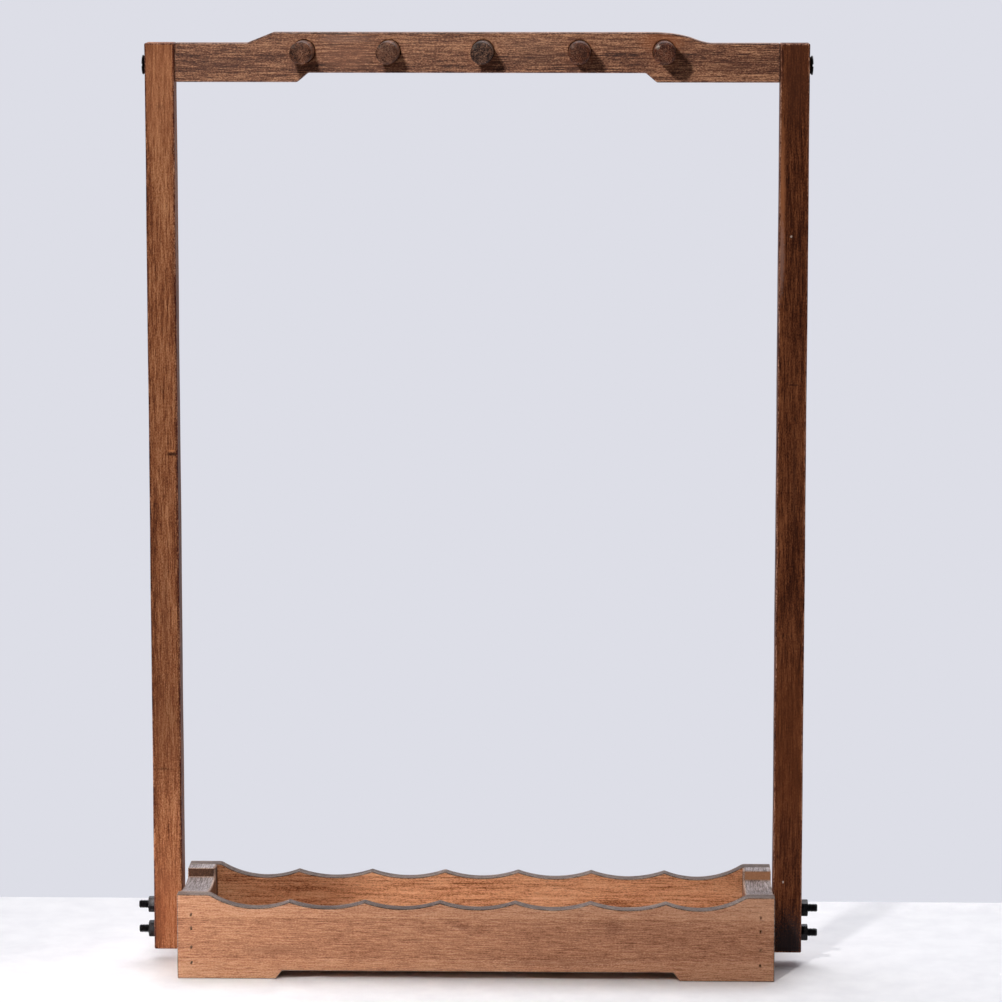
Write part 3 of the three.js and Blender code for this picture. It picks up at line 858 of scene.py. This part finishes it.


# The third number of each look is the strength of the painted highlight on the chamfer.
peg_looks = [
    (seen(120, 76, 56), (0.1, 0.2, 0.3), 0.12),
    (seen(104, 66, 50), (0.5, 0.9, 0.1), 0.12),
    (seen(64, 46, 41), (1.3, 0.4, 0.9), 0.12),
    (seen(104, 58, 40), (0.2, 1.5, 0.6), 0.12),
    (seen(98, 50, 34), (0.8, 0.3, 1.7), 0.65),
]
for number, (middle_shade, start, rubbed_and_highlight) in enumerate(peg_looks, 1):
    node = f"hanging_peg_{number}"
    peg_low, peg_high = peg_boxes[number - 1]
    x = peg_places[number - 1]
    length = peg_high.y - peg_low.y
    face_radius = peg_radius - PEG_CHAMFER
    profile = [(share * face_radius, PEG_CROWN * share**2) for share in (0, 0.3, 0.6, 0.85, 0.97)]
    profile += [(face_radius + 0.12, 0.16), (peg_radius - 0.12, PEG_CHAMFER - 0.1)]
    for ring in range(PEG_RINGS + 1):
        along = PEG_CHAMFER + 0.1 + (length - PEG_CHAMFER - 0.1) * ring / PEG_RINGS
        profile.append((peg_radius - RING_CUT * (ring % 3), along))
    profile.append((0, length))
    peg = lathe(f"turned_peg_{number}", profile, (x, peg_low.y, peg_height), (0, 1, 0), sides=72)
    dark_shade = tuple(c * 0.45 for c in middle_shade[:3]) + (1,)
    shades = (seen(30, 20, 18), dark_shade, middle_shade, seen(150, 110, 88))
    # A painted highlight on the upper left of the chamfer.
    rim = ((x - 3.7, peg_low.y, peg_height + 3.5), (1.7, 2, 1.7), seen(232, 218, 204), rubbed_and_highlight)
    finish_in(peg, end_grain(f"peg_{number}_bamboo", shades, start, rim))
    smooth(peg, 50)
    hand_over(peg, "peg_bamboo", node)

# ---- Top screws -------------------------------------------------------------------------
# Black slotted countersunk wood screws, driven through the posts into the crossbar's ends. The
# heads stand a little proud of the posts.

SCREW_HEAD = {"radius": 4.6, "rim": 0.8, "crown": 0.35}
SCREW_SHANK = {"radius": 2.1, "plain": 14, "pitch": 1.9, "cut": 0.55, "tip": 6}
SLOT = {"width": 1.2, "depth": 0.6}
THREAD_ROWS = 8


def threaded(radius, start, end, pitch, cut):
    """The part of a profile that has a thread, with enough rows to each turn."""
    rows = round((end - start) / pitch * THREAD_ROWS)
    return [(radius, start + (end - start) * row / rows, cut) for row in range(rows + 1)]


black_screw = dark_steel("black_screw_steel", seen(20, 19, 21), seen(52, 50, 52), 0.36)
for end, outwards in (("left", -1), ("right", 1)):
    node = f"{end}_top_screw"
    low, high = (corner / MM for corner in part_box(node))
    head = low.x if outwards < 0 else high.x
    length = high.x - low.x
    radius, rim, crown = SCREW_HEAD["radius"], SCREW_HEAD["rim"], SCREW_HEAD["crown"]
    shank, pitch, tip = SCREW_SHANK["radius"], SCREW_SHANK["pitch"], SCREW_SHANK["tip"]
    neck = rim + radius - shank
    profile = [(share * (radius - 0.3), crown * share**2) for share in (0, 0.3, 0.6, 0.85, 1)]
    profile += [(radius - 0.08, crown + 0.14), (radius, crown + 0.3), (radius, rim + 0.1)]
    profile.append((shank, neck))
    profile += threaded(shank, SCREW_SHANK["plain"], length - tip, pitch, SCREW_SHANK["cut"])
    profile += [(shank * 0.6, length - tip * 0.5), (0.25, length - 0.2), (0, length)]
    screw = lathe(
        f"{end}_slotted_screw", profile, (head, 0, SCREW_HEIGHT), (-outwards, 0, 0), pitch=pitch,
    )
    finish_in(screw, black_screw)
    deep = sorted((head + outwards, head - outwards * SLOT["depth"]))
    slot = block(
        "slot", (deep[0], -radius - 1, SCREW_HEIGHT - SLOT["width"] / 2),
        (deep[1], radius + 1, SCREW_HEIGHT + SLOT["width"] / 2),
    )
    carve(screw, slot)
    smooth(screw, 35)
    hand_over(screw, "black_steel", node)

# ---- Bolts and nuts ---------------------------------------------------------------------
# Two black M4 machine bolts hold the foot of each post to the tray's end. Their domed,
# cross-recessed heads are inside the tray, and their hex nuts are outside, with a few turns of
# thread left over.

BOLT_RADIUS = 2.0
BOLT_PITCH = 0.7
BOLT_CUT = 0.34
THREADED_FROM = 20
BOLT_HEAD = {"radius": 4, "dome": 2.3, "rim": 2.35, "under_radius": 3.85, "height": 2.6}
DOME_ANGLES = (0, 0.3, 0.6, 0.9, 1.15, 1.35, 1.5)
CROSS_RECESS = {"half_width": 0.45, "reach": 2.0, "depth": 1.4}
NUT_FLATS = 7
NUT_CHAMFER = 0.42
NUT_ARRIS = 0.12
NUT_TURNS = {"left_upper": 0, "left_lower": 6, "right_upper": 20, "right_lower": 3}

black_bolt = dark_steel("black_bolt_steel", seen(16, 15, 17), seen(48, 46, 48), 0.34)
black_nut = dark_steel("black_nut_steel", seen(18, 17, 19), seen(56, 54, 56), 0.26)
for end, outwards in (("left", -1), ("right", 1)):
    for level in ("upper", "lower"):
        node = f"{end}_{level}_bolt"
        low, high = (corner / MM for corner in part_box(node))
        height = (low.z + high.z) / 2
        start = low.x if outwards > 0 else high.x
        length = high.x - low.x
        radius, dome, deepest = BOLT_HEAD["radius"], BOLT_HEAD["dome"], BOLT_HEAD["height"]
        profile = [(radius * math.sin(a), dome - dome * math.cos(a) ** 0.8) for a in DOME_ANGLES]
        profile += [(radius, BOLT_HEAD["rim"]), (BOLT_HEAD["under_radius"], deepest)]
        profile.append((BOLT_RADIUS, deepest))
        profile += threaded(BOLT_RADIUS, THREADED_FROM, length - 0.5, BOLT_PITCH, BOLT_CUT)
        profile += [(BOLT_RADIUS - 0.5, length), (0, length)]
        bolt = lathe(
            f"{end}_{level}_machine_bolt", profile, (start, 0, height), (outwards, 0, 0),
            sides=40, pitch=BOLT_PITCH,
        )
        finish_in(bolt, black_bolt)
        deep = sorted((start - outwards, start + outwards * CROSS_RECESS["depth"]))
        arm = (CROSS_RECESS["half_width"], CROSS_RECESS["reach"])
        for wide, tall in (arm, arm[::-1]):
            recess = block(
                "recess", (deep[0], -wide, height - tall), (deep[1], wide, height + tall),
            )
            carve(bolt, recess)
        smooth(bolt, 35)
        hand_over(bolt, "black_steel", node)

        node = f"{end}_{level}_nut"
        low, high = (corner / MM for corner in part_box(node))
        corner_radius = NUT_FLATS / math.sqrt(3)
        thickness = high.x - low.x
        start = low.x if outwards > 0 else high.x
        touch()
        bpy.ops.mesh.primitive_cylinder_add(
            vertices=6, radius=corner_radius * MM, depth=3 * thickness * MM,
        )
        nut = settle(f"{end}_{level}_hex_nut")
        turn = Matrix.Rotation(math.radians(NUT_TURNS[f"{end}_{level}"]), 4, "X")
        place = Matrix.Translation(Vector((start, 0, height)) * MM)
        nut.data.transform(place @ turn @ Matrix.Rotation(math.pi / 2, 4, "Y"))
        bore = BOLT_RADIUS - BOLT_CUT * 0.5
        face_radius, fall = corner_radius - NUT_CHAMFER, NUT_CHAMFER * 0.6
        profile = [(bore, 0.5), (bore + 0.5, 0), (face_radius, 0), (corner_radius, fall)]
        profile += [(corner_radius, thickness - fall), (face_radius, thickness)]
        profile += [(bore + 0.5, thickness), (bore, thickness - 0.5), (bore, 0.5)]
        finish_in(nut, black_nut)
        blank = lathe("turned_blank", profile, (start, 0, height), (outwards, 0, 0), sides=96)
        carve(nut, blank, "INTERSECT")
        wear(nut, NUT_ARRIS, steps=2, sharper_than=25)
        smooth(nut, 30)
        hand_over(nut, "black_steel", node)

# ---- Table and light --------------------------------------------------------------------
# The rack stands near the far edge of a pale table, in front of a bright wall. A small window
# lights it from the front left and above, a low narrow beam from the left reaches only the tray,
# and a broad ceiling light hangs behind. The room is dark in front and bright behind.

TABLE = ((-1.1, -0.6, -0.03), (1.1, 0.128, 0))
WALL = seen(221, 222, 231)
ROOM_IN_FRONT = 0.03
ROOM_BEHIND = 0.95

table_low, table_high = (Vector(corner) / MM for corner in TABLE)
table = block("table", table_low, table_high)
paper = bpy.data.materials.new("pale_paper")
paper.use_nodes = True
tree = paper.node_tree
surface = tree.nodes["Principled BSDF"]
place = tree.nodes.new("ShaderNodeTexCoord").outputs["Object"]
fleck = noise(tree, mapped(tree, place, (60, 60, 60)), 4, 0.6)
paper_shades = [(0.3, seen(240, 240, 244)), (0.7, seen(250, 250, 253))]
feed(tree, surface.inputs["Base Color"], ramp(tree, fleck, paper_shades))
surface.inputs["Roughness"].default_value = 0.8
finish_in(table, paper)


def turned_to(place, aim):
    return (Vector(aim) - Vector(place)).to_track_quat("-Z", "Y").to_euler()


def soft_light(name, place, aim, size, power, shade):
    lamp = bpy.data.lights.new(name, "AREA")
    lamp.shape = "RECTANGLE"
    lamp.size, lamp.size_y = size
    lamp.energy = power
    lamp.color = shade
    light = bpy.data.objects.new(name, lamp)
    bpy.context.collection.objects.link(light)
    light.location = place
    light.rotation_euler = turned_to(place, aim)
    return light


soft_light(
    "window", place=(-0.136, -0.67, 0.67), aim=(0, 0, 0.2), size=(0.05, 0.05), power=3.15,
    shade=(1, 0.96, 0.92),
)
low_beam = soft_light(
    "low_window", place=(-0.60, -0.21, 0.14), aim=(-0.05, 0, 0.012), size=(0.06, 0.06),
    power=0.056, shade=(1, 0.97, 0.94),
)
low_beam.data.spread = math.radians(20)
soft_light(
    "ceiling", place=(0.1, 0.4, 1.35), aim=(0.05, -0.15, 0), size=(1.1, 1.1), power=13.5,
    shade=(1, 1, 1),
)

world = bpy.data.worlds.new("room")
bpy.context.scene.world = world
world.use_nodes = True
tree = world.node_tree
background = tree.nodes["Background"]
direction = tree.nodes.new("ShaderNodeTexCoord").outputs["Generated"]
parts = tree.nodes.new("ShaderNodeSeparateXYZ")
feed(tree, parts.inputs[0], direction)
behind = fade(tree, parts.outputs[1], -0.06, 0.45, ROOM_IN_FRONT, ROOM_BEHIND)
plain_wall = tree.nodes.new("ShaderNodeLightPath").outputs["Is Camera Ray"]
feed(tree, background.inputs["Strength"], maths(tree, "MAXIMUM", behind, plain_wall))
background.inputs["Color"].default_value = WALL

# ---- Camera -----------------------------------------------------------------------------
# A long lens two metres away from the rack, a little above it and to its right. It looks
# slightly down, and the whole rack fills the frame.

CAMERA_PLACE = (0.0628, -2.045, 0.522)
CAMERA_AIM = (0.0113, 0, 0.226)
LENS = 155.33

camera = bpy.data.objects.new("camera", bpy.data.cameras.new("camera"))
bpy.context.collection.objects.link(camera)
camera.location = CAMERA_PLACE
camera.rotation_euler = turned_to(CAMERA_PLACE, CAMERA_AIM)
camera.data.lens = LENS
camera.data.sensor_width = 36
bpy.context.scene.camera = camera
bpy.context.scene.view_settings.view_transform = "Standard"
